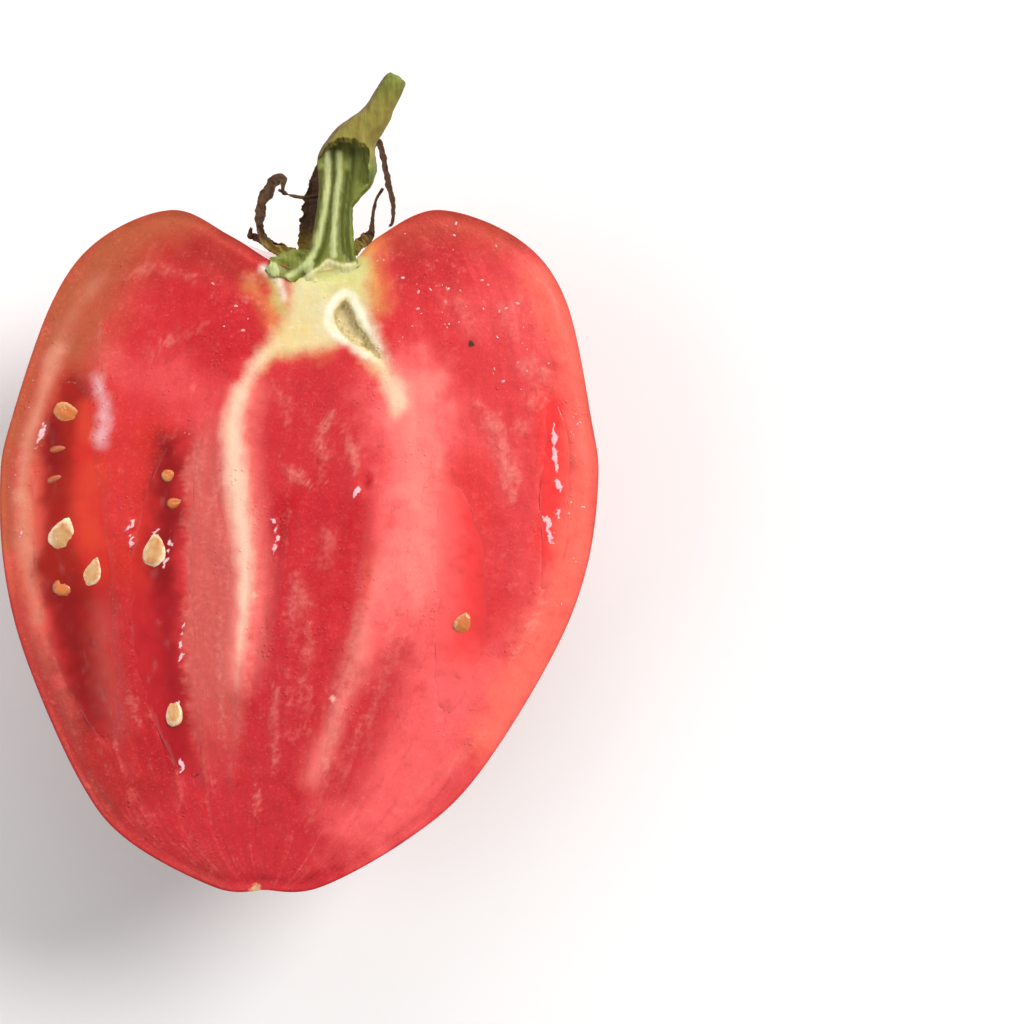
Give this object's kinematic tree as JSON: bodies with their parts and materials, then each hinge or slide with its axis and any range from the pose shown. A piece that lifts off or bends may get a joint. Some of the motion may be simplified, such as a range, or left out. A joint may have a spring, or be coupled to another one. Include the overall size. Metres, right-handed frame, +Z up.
{
  "type": "tomato half",
  "caption": "Halved oxheart tomato lying cut face up, with open seed chambers, jelly, seeds, a pale core and a split stalk with dried sepals; used as cut produce.",
  "frame": {"origin": "middle of the underside of the whole object's box, on the surface that the round back rests on", "axes": "+Y from the blossom end to the stalk along the longest extent, +Z up out of the cut face along the shortest extent, +X to the right when the cut face is looked at with the stalk away"},
  "size_m": [0.0804, 0.11, 0.0415],
  "materials": {
    "fruit_flesh": "wet glossy flesh and glossy skin",
    "seed_jelly": "wet clear jelly",
    "seeds": "satin",
    "stalk": "matte, lightly furred",
    "dried_sepals": "dry and matte"
  },
  "bodies": {
    "root": {"fruit_half": "fruit_flesh", "jelly_outer_left": "seed_jelly", "jelly_inner_left": "seed_jelly", "jelly_inner_right": "seed_jelly", "jelly_outer_right": "seed_jelly", "seed_01": "seeds", "seed_02": "seeds", "seed_03": "seeds", "seed_04": "seeds", "seed_05": "seeds", "seed_06": "seeds", "seed_07": "seeds", "seed_08": "seeds", "seed_09": "seeds", "seed_10": "seeds", "seed_11": "seeds", "seed_12": "seeds", "stalk": "stalk", "sepal_hooked": "dried_sepals", "sepal_stub": "dried_sepals", "sepal_broad": "dried_sepals", "sepal_long": "dried_sepals", "sepal_small": "dried_sepals"}
  },
  "joints": []
}
